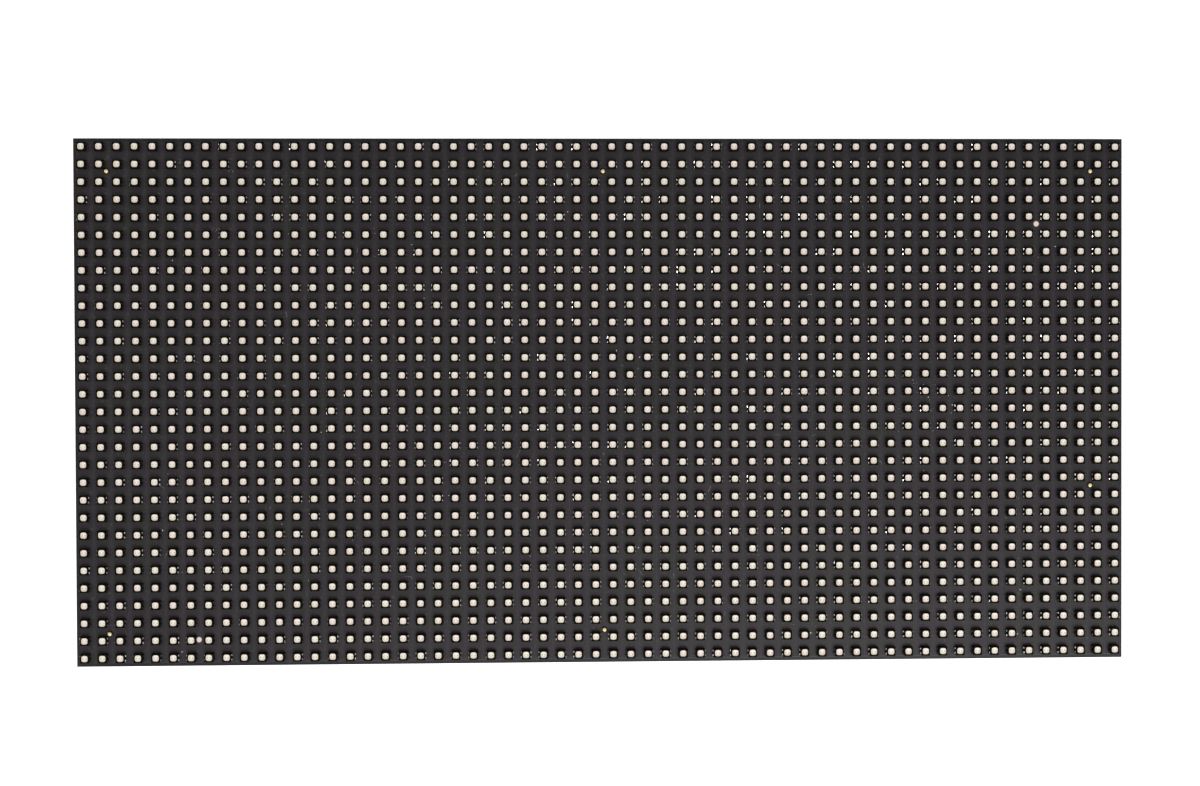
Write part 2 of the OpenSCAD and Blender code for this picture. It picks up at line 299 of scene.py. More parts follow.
for index, source in enumerate((calc(lamp_cell, "SUBTRACT", parts.outputs[0], 0.5),
                                calc(lamp_cell, "SUBTRACT", parts.outputs[1], 0.5),
                                colours.outputs[0], colours.outputs[1])):
    lamp_cell.links.new(source, ends_out.inputs[index])
print("group:", lamp_cell.name)

# %% [markdown]
# ## Shared effect 2: moulded grain
# Injection-moulded plastic takes the fine spark-eroded grain of its tool and a broad, faint
# unevenness where it cooled. One noise makes the grain, a second one the broad tone.
# %% Build the moulded grain group
moulded_grain, ends_in, ends_out = group_tree(
    "moulded_grain", {"Grain scale": 4000.0, "Broad scale": 40.0}, ["Height", "Tone"])
where = own_place(moulded_grain)
for index, detail in enumerate((3.0, 4.0)):
    noise = add(moulded_grain, "TexNoise",
                {"Vector": where, "Scale": ends_in.outputs[index], "Detail": detail})
    moulded_grain.links.new(noise.outputs["Fac"], ends_out.inputs[index])
print("group:", moulded_grain.name)

# %% [markdown]
# ## Shared effect 3: settled dust
# Dust lies on what faces up and gathers in patches. The mask is a fine speckle, thinned by a
# broad noise and by how far the surface is from level.
# %% Build the settled dust group
PATCH_SCALE = 25.0
settled_dust, ends_in, ends_out = group_tree("settled_dust", {"Speck scale": 900.0, "Amount": 0.3},
                                             ["Mask"])
where = own_place(settled_dust)
specks = add(settled_dust, "TexNoise", {"Vector": where, "Scale": ends_in.outputs[0], "Detail": 2.0})
patches = add(settled_dust, "TexNoise", {"Vector": where, "Scale": PATCH_SCALE, "Detail": 2.0})
level = calc(settled_dust, "ABSOLUTE", upright(settled_dust))
speckle = ramp(settled_dust, specks.outputs["Fac"], 0.6, 0.75)
patchy = calc(settled_dust, "MULTIPLY", speckle, patches.outputs["Fac"])
settled = calc(settled_dust, "MULTIPLY", patchy, calc(settled_dust, "MULTIPLY", level, ends_in.outputs[1]))
settled_dust.links.new(settled, ends_out.inputs[0])
print("group:", settled_dust.name)

# %% [markdown]
# ## Shared effect 4: worked metal
# Turned brass, tinned pins and drawn cans are never even: they carry fine scratches and a
# cloudy tarnish. The group gives a tone for the colour and a value for the roughness.
# %% Build the worked metal group
SCRATCH_STRETCH = (1.0, 0.08, 1.0)
worked_metal, ends_in, ends_out = group_tree(
    "worked_metal", {"Cloud scale": 500.0, "Scratch scale": 3000.0}, ["Tone", "Scratches"])
where = own_place(worked_metal)
stretched = add(worked_metal, "Mapping", {"Vector": where, "Scale": SCRATCH_STRETCH}).outputs[0]
for index, place in enumerate((where, stretched)):
    noise = add(worked_metal, "TexNoise",
                {"Vector": place, "Scale": ends_in.outputs[index], "Detail": 3.0})
    worked_metal.links.new(noise.outputs["Fac"], ends_out.inputs[index])
print("group:", worked_metal.name)

# %% [markdown]
# ## Moulded and fired finishes
# The frame, the lamp bodies, the chip packages and the connector shrouds are all moulded, and
# the small ceramic parts are fired. Each has its own tone, gloss and grain, so one function
# makes them all from the shared groups.
# %% Make the moulded and fired finishes
DUST_TONE = (0.30, 0.29, 0.27)


def moulded_plastic(name, dark, light, rough, grain_scale, grain_depth, dust=0.3, **sockets):
    """Plastic between two tones, with tool grain and a little dust."""
    material, tree, shader = finish_material(name, **sockets)
    grain = place_group(tree, moulded_grain, {"Grain scale": grain_scale})
    dusty = place_group(tree, settled_dust, {"Amount": dust})
    tone = mix_colour(tree, grain.outputs["Tone"], dark, light)
    tree.links.new(mix_colour(tree, dusty.outputs["Mask"], tone, DUST_TONE), shader.inputs["Base Color"])
    tree.links.new(ramp(tree, grain.outputs["Tone"], 0, 1, rough - 0.06, rough + 0.06),
                   shader.inputs["Roughness"])
    bump(tree, shader, grain.outputs["Height"], 0.5, grain_depth)
    return material


SHALLOW, DEEPER, COARSE = 0.00001, 0.00002, 0.00006
frame_black = moulded_plastic("frame_black", (0.011, 0.011, 0.012), (0.018, 0.018, 0.019), 0.52, 3500,
                              COARSE)
lamp_black = moulded_plastic("lamp_black", (0.0022, 0.0016, 0.0012), (0.0042, 0.0032, 0.0024), 0.7, 9000,
                             SHALLOW, dust=0.04, Specular_IOR_Level=0.07)
chip_black = moulded_plastic("chip_black", (0.028, 0.028, 0.030), (0.040, 0.040, 0.043), 0.55, 6000, DEEPER)
shroud_black = moulded_plastic("shroud_black", (0.012, 0.012, 0.013), (0.018, 0.018, 0.02), 0.42, 5000,
                               SHALLOW)
nylon_white = moulded_plastic("nylon_white", (0.62, 0.59, 0.52), (0.74, 0.71, 0.64), 0.4, 5000, SHALLOW)
fired_ceramic = moulded_plastic("fired_ceramic", (0.34, 0.24, 0.15), (0.44, 0.32, 0.21), 0.6, 3000, SHALLOW)
glazed_black = moulded_plastic("glazed_black", (0.014, 0.014, 0.016), (0.022, 0.022, 0.025), 0.25, 3000,
                               SHALLOW)
bare_glass = moulded_plastic("bare_glass", (0.30, 0.15, 0.05), (0.42, 0.22, 0.08), 0.5, 4000, SHALLOW)
pale_dust = moulded_plastic("pale_dust", (0.55, 0.53, 0.50), (0.85, 0.83, 0.80), 0.8, 2000, DEEPER)
print("finishes so far:", [material.name for material in bpy.data.materials])

# %% [markdown]
# ## Metals
# Brass for the standoffs and inserts, tin for leads and power pins, gold flash for the signal
# pins, zinc for the screws and bare aluminium for the capacitor cans.
# %% Make the metals
SCRATCH_DEPTH = 0.000004


def worked(name, dark, light, rough, cloud_scale=500.0, metallic=1.0):
    """Metal between two tones, with tarnish clouds and fine scratches."""
    material, tree, shader = finish_material(name, metallic=metallic)
    wear = place_group(tree, worked_metal, {"Cloud scale": cloud_scale})
    tree.links.new(mix_colour(tree, wear.outputs["Tone"], dark, light), shader.inputs["Base Color"])
    tree.links.new(ramp(tree, wear.outputs["Scratches"], 0, 1, rough - 0.08, rough + 0.1),
                   shader.inputs["Roughness"])
    bump(tree, shader, wear.outputs["Scratches"], 0.4, SCRATCH_DEPTH)
    return material


turned_brass = worked("turned_brass", (0.62, 0.42, 0.11), (0.86, 0.66, 0.24), 0.26)
dip_tin = worked("dip_tin", (0.62, 0.61, 0.59), (0.86, 0.85, 0.82), 0.24, cloud_scale=1500)
mark_tin = worked("mark_tin", (0.88, 0.85, 0.80), (0.94, 0.92, 0.88), 0.4, metallic=0.25)
gold_flash = worked("gold_flash", (0.80, 0.58, 0.26), (0.92, 0.72, 0.38), 0.22)
zinc_steel = worked("zinc_steel", (0.40, 0.41, 0.42), (0.58, 0.59, 0.6), 0.34)
drawn_aluminium = worked("drawn_aluminium", (0.66, 0.67, 0.69), (0.8, 0.81, 0.82), 0.3)
print("metals made:", turned_brass.name, dip_tin.name, gold_flash.name, zinc_steel.name)

# %% [markdown]
# ## The board's black solder mask
# The board is fibreglass with copper under a black lacquer. The lacquer is smooth and
# semi-gloss, so the copper shows only as low relief and as a slightly paler tone: strips of
# copper run down between the columns of lamps, short tails reach the solder pads, small
# plugged holes lead to the inner layers, and all copper stops a little over a millimetre
# short of the board's edge. The strips' paler tone is partly painted light, for the light in
# the open gaps between the columns, away from the lamps' shade. The sawn edge itself shows
# the bare fibreglass.
# %% Make the solder mask
EDGE_CLEARANCE = 1.05 * MM
BORDER_LINE = EDGE_CLEARANCE + 0.2 * MM
LAYER_H = 0.2 * MM
# Places in the copper pattern are in lamp steps from the middle of a lamp.
STRIP_AT, SLIT_AT = 0.47, 0.44
TAIL_ROW, TAIL_AT = 0.131, 0.36
HOLE_AT, HOLE_R = 0.36, 0.035


def solder_mask():
    """Black lacquer over copper that follows the lamp grid, and bare fibreglass at the edges."""
    material, tree, shader = finish_material("solder_mask", IOR=1.49)
    across, up, chance_a, chance_b = place_group(tree, lamp_cell).outputs
    off_axis = calc(tree, "ABSOLUTE", across)
    off_row = calc(tree, "ABSOLUTE", up)
    # the strips between the columns are copper, and their paler tone is also painted light for the open
    # gaps
    strips_and_painted_light = calc(tree, "SUBTRACT", band(tree, off_axis, STRIP_AT, 0.055, 0.025),
                  band(tree, off_axis, SLIT_AT, 0.005, 0.014))
    tails = calc(tree, "MULTIPLY", band(tree, off_row, TAIL_ROW, 0.025, 0.012),
                 band(tree, off_axis, TAIL_AT, 0.05, 0.02))
    tails = calc(tree, "MULTIPLY", tails, calc(tree, "GREATER_THAN", chance_a, 0.4))
    to_hole = [calc(tree, "POWER", calc(tree, "SUBTRACT", axis, HOLE_AT), 2.0) for axis in (off_axis, up)]
    to_hole = calc(tree, "SQRT", calc(tree, "ADD", *to_hole))
    holes = calc(tree, "MULTIPLY", band(tree, to_hole, HOLE_R, 0.01, 0.008),
                 calc(tree, "GREATER_THAN", chance_b, 0.5))
    copper = calc(tree, "MAXIMUM", strips_and_painted_light, calc(tree, "MAXIMUM", tails, holes))
    where = add(tree, "SeparateXYZ", {0: own_place(tree)})
    from_side = calc(tree, "SUBTRACT", board_high.x, calc(tree, "ABSOLUTE", where.outputs[0]))
    from_end = calc(tree, "SUBTRACT", board_high.y, calc(tree, "ABSOLUTE", where.outputs[1]))
    nearest = calc(tree, "MINIMUM", from_side, from_end)
    poured = ramp(tree, nearest, EDGE_CLEARANCE - 0.08 * MM, EDGE_CLEARANCE + 0.08 * MM)
    border = calc(tree, "MULTIPLY", band(tree, nearest, BORDER_LINE, 0.08 * MM, 0.1 * MM), 0.7)
    copper = calc(tree, "MAXIMUM", calc(tree, "MULTIPLY", copper, poured), border)
    grain = place_group(tree, moulded_grain, {"Grain scale": 700.0, "Broad scale": 18.0})
    lacquer = mix_colour(tree, grain.outputs["Tone"], (0.0142, 0.0103, 0.0121), (0.0182, 0.0138, 0.0157))
    lacquer = mix_colour(tree, poured, (0.0075, 0.0064, 0.0080), lacquer)
    # the paler copper tone; on the strips it is also painted light
    lacquer = mix_colour(tree, copper, lacquer, (0.0225, 0.0195, 0.0230))
    dusty = place_group(tree, settled_dust, {"Amount": 0.14})
    face = mix_colour(tree, dusty.outputs["Mask"], lacquer, DUST_TONE)
    level = calc(tree, "GREATER_THAN", calc(tree, "ABSOLUTE", upright(tree)), 0.5)
    layers = calc(tree, "FRACT", calc(tree, "MULTIPLY", where.outputs[2], 1 / LAYER_H))
    glass = mix_colour(tree, layers, (0.030, 0.025, 0.016), (0.055, 0.047, 0.030))
    tree.links.new(mix_colour(tree, level, glass, face), shader.inputs["Base Color"])
    tree.links.new(ramp(tree, grain.outputs["Tone"], 0, 1, 0.34, 0.46), shader.inputs["Roughness"])
    relief = calc(tree, "MULTIPLY_ADD", grain.outputs["Height"], 0.12, calc(tree, "ADD", copper, poured))
    bump(tree, shader, relief, 0.6, 0.00003)
    return material


mask_black = solder_mask()
print("material:", mask_black.name, "with", len(mask_black.node_tree.nodes), "nodes")

# %% [markdown]
# ## Lamp windows
# Under the clear filling each lamp has a warm white cup. From a step away only a faint
# pattern is left of what lies in it: the three chips stand in a row down the middle on a
# bright land, with a duller patch of the cup's floor to each side. The rim is painted brown
# all round, a painted shade for the dim wall inside the cup. No two lamps are quite the same
# tone.
# %% Make the window material
RIM_FROM, RIM_TO = 0.164, 0.188
LAND_TONE, PATCH_TONE, RIM_SHADE_TONE = (0.93, 0.88, 0.79), (0.42, 0.34, 0.24), (0.20, 0.13, 0.08)


def window_finish():
    """Warm white cup under clear filling, with a faint pattern and a rim painted brown as shade."""
    material, tree, shader = finish_material("lamp_window", Roughness=0.35, IOR=1.45)
    across, up, chance_a, chance_b = place_group(tree, lamp_cell).outputs
    pinkish = mix_colour(tree, chance_a, (0.764, 0.673, 0.572), (0.825, 0.744, 0.633))
    yellowish = mix_colour(tree, chance_a, (0.764, 0.688, 0.557), (0.825, 0.759, 0.643))
    warm = mix_colour(tree, chance_b, pinkish, yellowish)
    land = calc(tree, "MULTIPLY", band(tree, across, 0.0, 0.018, 0.03), band(tree, up, 0.03, 0.09, 0.05))
    corner = calc(tree, "MULTIPLY", *[band(tree, axis, 0.085, 0.015, 0.04) for axis in (across, up)])
    bright = calc(tree, "MULTIPLY", calc(tree, "MAXIMUM", land, corner), 0.75)
    paler = mix_colour(tree, bright, warm, LAND_TONE)
    patches = calc(tree, "MULTIPLY", band(tree, calc(tree, "ABSOLUTE", across), 0.1, 0.014, 0.03),
                   band(tree, up, -0.004, 0.014, 0.035))
    darker = mix_colour(tree, calc(tree, "MULTIPLY", patches, 0.5), paler, PATCH_TONE)
    powers = [calc(tree, "POWER", calc(tree, "ABSOLUTE", axis), 4.0) for axis in (across, up)]
    edge = calc(tree, "POWER", calc(tree, "ADD", *powers), 0.25)
    # painted shade: the rim of every window is painted brown for the dim wall inside the cup
    rim = ramp(tree, edge, RIM_FROM, RIM_TO, 0.0, 0.8)
    tree.links.new(mix_colour(tree, rim, darker, RIM_SHADE_TONE), shader.inputs["Base Color"])
    speckle = add(tree, "TexNoise", {"Vector": own_place(tree), "Scale": 2500.0})
    bump(tree, shader, calc(tree, "MULTIPLY_ADD", chance_b, 0.2, speckle.outputs["Fac"]), 0.15, 0.00001)
    return material


lamp_window = window_finish()
print("material:", lamp_window.name)

# %% [markdown]
# ## Solder at the lamps
# The leads are tinned, but on many lamps they are painted near-black: partly as lacquer that
# has crept up the solder, partly as painted shade where no glint falls. Chance decides this
# for each side of each lamp, so some glint and some don't, and the painted shade thins out
# towards the right, so the right end of the board has more bare ones than the left. Where tin
# is bare, it is only the upper bend of the lead: the foot stays dark, as lacquer and painted shade.
# %% Make the lamp solder
LACQUER_AND_SHADE_LINE = 0.6 * MM
# how fast the painted shade on the leads thins out towards the right end, per metre
LESS_PAINTED_SHADE_TO_THE_RIGHT = 1.2


def lamp_solder_finish():
    """Tin that is bare at the top of some leads and painted near-black elsewhere, as lacquer and shade."""
    material, tree, shader = finish_material("lamp_solder")
    across, up, chance_a, chance_b = place_group(tree, lamp_cell).outputs
    right = calc(tree, "GREATER_THAN", across, 0.0)
    luck_and_shade_slope = calc(tree, "MULTIPLY_ADD", calc(tree, "SUBTRACT", chance_a, chance_b), right, chance_b)
    where = add(tree, "SeparateXYZ", {0: own_place(tree)})
    luck_and_shade_slope = calc(tree, "MULTIPLY_ADD", where.outputs[0], LESS_PAINTED_SHADE_TO_THE_RIGHT, luck_and_shade_slope)
    above = calc(tree, "SUBTRACT", where.outputs[2], FACE_Z)
    bare = calc(tree, "MULTIPLY", ramp(tree, luck_and_shade_slope, 0.56, 0.84),
                ramp(tree, above, LACQUER_AND_SHADE_LINE, LACQUER_AND_SHADE_LINE + 0.2 * MM))
    wear = place_group(tree, worked_metal, {"Cloud scale": 1500.0})
    tin = mix_colour(tree, wear.outputs["Tone"], (0.86, 0.85, 0.82), (0.98, 0.97, 0.95))
    # near-black where not bare: lacquer, and painted shade on leads that would not glint
    tree.links.new(mix_colour(tree, bare, (0.006, 0.005, 0.006), tin), shader.inputs["Base Color"])
    tree.links.new(calc(tree, "MULTIPLY", bare, 0.7), shader.inputs["Metallic"])
    polish = ramp(tree, wear.outputs["Scratches"], 0, 1, 0.14, 0.3)
    tree.links.new(ramp(tree, bare, 0, 1, 0.6, polish), shader.inputs["Roughness"])
    return material


lamp_solder = lamp_solder_finish()
print("material:", lamp_solder.name)

# %% [markdown]
# ## Small shapes
# Most small parts are one of two kinds: a flat outline pushed across, such as a bent lead, or
# a profile turned around an axis, such as a pin's dome. Each helper returns points and faces
# in millimetres around the part's own foot, with the faces turned outwards by bmesh.
# %% Shape helpers


def turned_outwards(points, faces):
    """The same closed shape with every face looking outwards."""
    work = bmesh.new()
    corners = [work.verts.new(p) for p in points]
    for face in faces:
        work.faces.new([corners[k] for k in face])
    bmesh.ops.recalc_face_normals(work, faces=work.faces)
    work.verts.index_update()
    result = [tuple(v.co) for v in work.verts], [[v.index for v in f.verts] for f in work.faces]
    work.free()
    return result


def bent_bar(profile, width):
    """A flat outline in X and Z, pushed across Y by width."""
    count = len(profile)
    points = [(x, side * width / 2, z) for side in (-1, 1) for x, z in profile]
    faces = [list(range(count)), list(range(count, 2 * count))]
    faces += [[k, (k + 1) % count, (k + 1) % count + count, k + count] for k in range(count)]
    return turned_outwards(points, faces)


def turned_part(profile, sides):
    """A profile of radius and height turned around Z; it starts and ends on the axis or closes up."""
    points, rings = [], []
    for radius, z in profile:
        if radius == 0:
            rings.append([len(points)] * sides)
            points.append((0.0, 0.0, z))
        else:
            rings.append(list(range(len(points), len(points) + sides)))
            points += [(radius * math.cos(math.tau * k / sides), radius * math.sin(math.tau * k / sides), z)
                       for k in range(sides)]
    if profile[0][0] != 0:
        rings.append(rings[0])
    faces = []
    for lower, upper in zip(rings, rings[1:]):
        for k in range(sides):
            n = (k + 1) % sides
            faces.append(list(dict.fromkeys([lower[k], lower[n], upper[n], upper[k]])))
    return turned_outwards(points, faces)


def block(size, middle=(0, 0, 0)):
    """A block around its middle."""
    x, y, z = middle
    outline = [(x + a * size[0] / 2, z + b * size[2] / 2) for a, b in ((-1, -1), (1, -1), (1, 1), (-1, 1))]
    points, faces = bent_bar(outline, size[1])
    return [(a, b + y, c) for a, b, c in points], faces


def joined(*shapes):
    """Several shapes as one list of points and faces."""
    points, faces = [], []
    for own_points, own_faces in shapes:
        faces += [[k + len(points) for k in face] for face in own_faces]
        points += own_points
    return points, faces


print("shape helpers ready")

# %% [markdown]
# ## Many copies in one mesh
# A lamp is drawn once. Copying 1800 objects would be slow, so the points of all copies go
# into one mesh: numpy adds each place to the shape's points and shifts the faces along. The
# same function sets out the leads, the pins and the dust.
# %% Copies of a small shape


def copies_object(name, shape, places, sizes=None, turns=None, smooth=False):
    """One mesh with a copy of the shape (in mm) at each place, scaled and turned about Z if asked."""
    points, faces = shape
    spots = np.array([tuple(p) for p in places], float)
    count, own = len(spots), len(points)
    cloud = np.repeat(np.array(points, float)[None] * MM, count, axis=0)
    if sizes is not None:
        cloud *= np.array(sizes, float)[:, None, :]
    if turns is not None:
        angle = np.array(turns, float)[:, None]
        x = cloud[:, :, 0] * np.cos(angle) - cloud[:, :, 1] * np.sin(angle)
        y = cloud[:, :, 0] * np.sin(angle) + cloud[:, :, 1] * np.cos(angle)
        cloud = np.stack([x, y, cloud[:, :, 2]], axis=2)
    cloud = (cloud + spots[:, None, :]).reshape(-1, 3)
    corners = np.concatenate([np.array(face) for face in faces])
    lengths = np.tile([len(face) for face in faces], count)
    mesh = bpy.data.meshes.new(name)
    mesh.vertices.add(len(cloud))
    mesh.vertices.foreach_set("co", cloud.ravel())
    mesh.loops.add(len(corners) * count)
    shifted = corners[None] + (np.arange(count) * own)[:, None]
    mesh.loops.foreach_set("vertex_index", shifted.ravel().astype(np.int32))
    mesh.polygons.add(len(lengths))
    mesh.polygons.foreach_set("loop_start", np.concatenate([[0], np.cumsum(lengths)[:-1]]).astype(np.int32))
    mesh.update(calc_edges=True)
    mesh.validate()
    mesh.polygons.foreach_set("use_smooth", [smooth] * len(mesh.polygons))
    made = bpy.data.objects.new(name, mesh)
    scene.collection.objects.link(made)
    return made


def dress(piece, material, slot_name, *cad_nodes):
    """Gives a piece its material and ties it to the panel; cad_nodes are what it stands for."""
    piece.data.materials.append(material)
    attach(piece, "root")
    if cad_nodes:
        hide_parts(*cad_nodes)
    triangles = sum(len(face.vertices) - 2 for face in piece.data.polygons)
    print(piece.name, "triangles:", triangles)


def soften_edges(piece, width, segments=2):
    """Breaks the sharp edges of a piece, after it joins split points and drops flat seams."""
    piece.modifiers.new("join_points", "WELD").merge_threshold = 0.000005
    flat = piece.modifiers.new("drop_seams", "DECIMATE")
    flat.decimate_type = "DISSOLVE"
    flat.angle_limit = math.radians(1)
    edge = piece.modifiers.new("broken_edges", "BEVEL")
    edge.width = width
    edge.segments = segments
    edge.limit_method = "ANGLE"
    edge.angle_limit = math.radians(40)
    edge.use_clamp_overlap = True


print("copy helpers ready")

# %% [markdown]
# ## Where the small parts are
# The pins, chips, capacitors and inserts come from the construction model. To give them
# leads and details, the box of every separate solid in a node is read from its mesh: points
# at the same place are joined, and faces that share a point belong together.
# %% Find separate solids


def separate_solids(name):
    """Middle and size of every separate solid of a construction node, in metres."""
    mesh = nodes[name].data
    spots = np.array([tuple(nodes[name].matrix_world @ v.co) for v in mesh.vertices])
    same = np.unique(np.round(spots, 6), axis=0, return_inverse=True)[1].ravel()
    leader = list(range(same.max() + 1))

    def find(k):
        while leader[k] != k:
            leader[k] = leader[leader[k]]
            k = leader[k]
        return k

    for face in mesh.polygons:
        first, *others = [find(same[v]) for v in face.vertices]
        for other in others:
            leader[find(other)] = find(first)
    owner = np.array([find(k) for k in range(len(leader))])[same]
    boxes = [(spots[owner == k].min(axis=0), spots[owner == k].max(axis=0)) for k in np.unique(owner)]
    return [(Vector((low + high) / 2), Vector(high - low)) for low, high in boxes]


def radius_and_length(name):
    """Radius and length of the first round solid of a node, in mm."""
    size = solids[name][0][1]
    return size.x / MM / 2, size.z / MM


solids = {name: separate_solids(name) for name in nodes
          if not name.startswith(("lamp_", "circuit_", "rear_"))}
print("separate solids:", {name: len(found) for name, found in solids.items()})

# %% [markdown]
# ## The outline of a window
# The window is a square with generous round corners. The outline is walked corner by corner,
# each a quarter circle, so its points lie on true arcs and the straight sides stay straight.
# Rings of such outlines at different heights, sewn together, make the body and the filling.
# %% Round-cornered rings


def round_square(half, radius, steps=4):
    """Points around a square with round corners, anticlockwise from the lower right one."""
    points = []
    for corner, (sx, sy) in enumerate([(1, -1), (1, 1), (-1, 1), (-1, -1)]):
        for k in range(steps + 1):
            angle = math.radians(-90 + 90 * corner + 90 * k / steps)
            points.append((sx * (half - radius) + radius * math.cos(angle),
                           sy * (half - radius) + radius * math.sin(angle)))
    return points


def sewn_rings(outlines, heights, close_first=False, close_last=False):
    """Points and faces of outlines at these heights, sewn one to the next."""
    points = [(x, y, z) for outline, z in zip(outlines, heights) for x, y in outline]
    count = len(outlines[0])
    faces = [[r * count + k, r * count + (k + 1) % count,
              (r + 1) * count + (k + 1) % count, (r + 1) * count + k]
             for r in range(len(outlines) - 1) for k in range(count)]
    if close_first:
        faces.append(list(reversed(range(count))))
    if close_last:
        faces.append(list(range((len(outlines) - 1) * count, len(outlines) * count)))
    return points, faces


WINDOW_HALF = 0.94
WINDOW_RADIUS = 0.62
lamp_top = LAMP_H / MM
print("window outline has", len(round_square(WINDOW_HALF, WINDOW_RADIUS)), "points")

# %% [markdown]
# ## The lamp bodies
# A lamp body is a small black block whose corners and top edge are slightly broken by the
# mould. Its top is pierced by the window opening, with a short wall down to the filling. The
# body stands a hair above the board on its leads.
# %% Build the lamp bodies
FOOT_GAP = 0.05
BODY_CORNER = 0.16
BROKEN_EDGE = 0.09
WALL_DEPTH, WALL_SLOPE = 0.4, 0.03
body_half = BODY_W / MM / 2
body_side = round_square(body_half, BODY_CORNER)
body_outlines = [body_side, body_side, round_square(body_half - BROKEN_EDGE, BODY_CORNER),
                 round_square(WINDOW_HALF, WINDOW_RADIUS),
                 round_square(WINDOW_HALF - WALL_SLOPE, WINDOW_RADIUS)]
body_heights = [FOOT_GAP, lamp_top - BROKEN_EDGE, lamp_top, lamp_top, lamp_top - WALL_DEPTH]
lamp_body = sewn_rings(body_outlines, body_heights, close_first=True, close_last=True)
halves = {"upper": range(0, HALF_ROWS), "lower": range(HALF_ROWS, ROWS)}
lamp_places = {half: [lamp_place(c, r) for r in rows for c in range(COLUMNS)]
               for half, rows in halves.items()}
for half, places in lamp_places.items():
    shells = copies_object(f"lamp_shells_{half}", lamp_body, places)
    dress(shells, lamp_black, "lamp_black", f"lamp_bodies_{half}")

# %% [markdown]
# ## The lamp windows
# The filling is poured and sinks a little as it sets, so its surface is a shallow dish that
# climbs the wall at the rim. Each dish catches the light slightly differently, because its
# depth varies.
# %% Build the lamp windows
random.seed(5)
WINDOW_DEPTH = 0.09
FILL_BELOW_TOP = 0.05 * MM
dish_rings = [(1.0, 0.0), (0.86, 0.55), (0.45, 0.9), (0.04, 1.0)]
dish_outlines = [round_square((WINDOW_HALF - 0.004) * share, WINDOW_RADIUS * share)
                 for share, _ in dish_rings]
filling = sewn_rings(dish_outlines, [-WINDOW_DEPTH * sink for _, sink in dish_rings], close_last=True)
for half, places in lamp_places.items():
    rims = [p + Vector((0, 0, LAMP_H - FILL_BELOW_TOP)) for p in places]
    depths = [(1, 1, random.uniform(0.4, 1.3)) for _ in rims]
    fillings = copies_object(f"lamp_fillings_{half}", filling, rims, depths, smooth=True)
    dress(fillings, lamp_window, "lamp_window", f"lamp_windows_{half}")

# %% [markdown]
# ## The lamp leads
# Four flat tinned leads leave each body halfway up its left and right sides, bend down along
# the wall and end in a small hill of solder on the board. The round upper bend is what
# glints. Hand and oven never make two hills alike, so each gets its own width, reach and
# height.
# %% Build the lamp leads
LEAD_OFFSET = 0.70 * MM
LEAD_PROFILE = [(-0.04, 0.0), (0.28, 0.0), (0.23, 0.1), (0.22, 0.86), (0.19, 0.92), (-0.01, 1.1),
                (-0.04, 1.1)]
lamp_lead = bent_bar(LEAD_PROFILE, 1.0)
for half, places in lamp_places.items():
    spots, sizes, turns = [], [], []
    for place in places:
        for side, up in ((-1, -1), (-1, 1), (1, -1), (1, 1)):
            spots.append(place + Vector((side * BODY_W / 2, up * LEAD_OFFSET, 0)))
            sizes.append((random.uniform(0.8, 1.25), random.uniform(0.4, 0.58), random.uniform(0.7, 1.1)))
            turns.append((0 if side > 0 else math.pi) + random.uniform(-0.15, 0.15))
    dress(copies_object(f"lamp_leads_{half}", lamp_lead, spots, sizes, turns), lamp_solder, "bare_pad")

# %% [markdown]
# ## Brass pin ends
# Six brass standoffs behind the board send a thin pin through it. Its end is rounded. The top
# of the dome is painted pale and bright as a painted highlight, and its flank dark brown as a
# painted reflection of the dark lamps and board around it. The dome closes the pin of the
# construction model.
# %% Build the pin ends
# dark brown of the dome's flank: a painted reflection of the dark lamps and board around it
FLANK_REFLECTION_TONE = (0.060, 0.040, 0.008)
DOME_LEVELS = (0.32, 0.5, 0.68, 0.84, 0.95)
DOME_SUNK = 0.3


def pin_finish():
    """Painted highlight of pale brass where the dome faces up, painted dark brown reflection on its flank.
    """
    material, tree, shader = finish_material("pin_brass", metallic=0.3)
    wear = place_group(tree, worked_metal)
    bare = mix_colour(tree, wear.outputs["Tone"], (0.86, 0.74, 0.42), (0.96, 0.87, 0.56))
    # painted highlight on the top of the dome, painted reflection on its flank, chosen by which way the
    # surface faces
    highlight_and_reflection = mix_colour(tree, ramp(tree, upright(tree), 0.76, 0.9), FLANK_REFLECTION_TONE, bare)
    tree.links.new(highlight_and_reflection, shader.inputs["Base Color"])
    tree.links.new(ramp(tree, wear.outputs["Scratches"], 0, 1, 0.34, 0.5), shader.inputs["Roughness"])
    return material


dome = [(0, -0.1), (0.94, -0.1)] + [(math.sqrt(1 - z * z), z - DOME_SUNK) for z in DOME_LEVELS]
dome.append((0, 0.7))
pin_places = [(middle.x, middle.y, FACE_Z) for middle, _ in solids["board_standoffs"]]
dress(copies_object("pin_domes", turned_part(dome, 24), pin_places, smooth=True), pin_finish(), "brass")

# %% [markdown]
# ## Alignment marks
# Where the placing machine looks for the board, a round tinned spot lies in an opening of the
# black lacquer. Between spot and lacquer a thin ring of bare orange-brown fibreglass is left.
# %% Build the rings around the marks
RING_H = 0.015
mark_r = radius_and_length("alignment_marks")[0]
ring_in, ring_out = mark_r + 0.01, mark_r + 0.18
ring = turned_part([(ring_in, 0.0), (ring_out, 0.0), (ring_out, RING_H), (ring_in, RING_H)], 32)
mark_places = [(middle.x, middle.y, FACE_Z) for middle, _ in solids["alignment_marks"]]
dress(copies_object("mark_rings", ring, mark_places), bare_glass, "bare_pad")

# %% [markdown]
# ## Dust and lint
# A panel without its mask gathers pale crumbs and short fibres between the lamps. The crumbs
# are flat chips with uneven corners. A few lie in a loose cluster right of the middle, the
# rest anywhere. All rest on the board.
# %% Scatter crumbs
random.seed(11)
CLUSTER = (48.2, 14.4)
CRUMBS_IN_CLUSTER, CRUMBS_ELSEWHERE = 26, 150


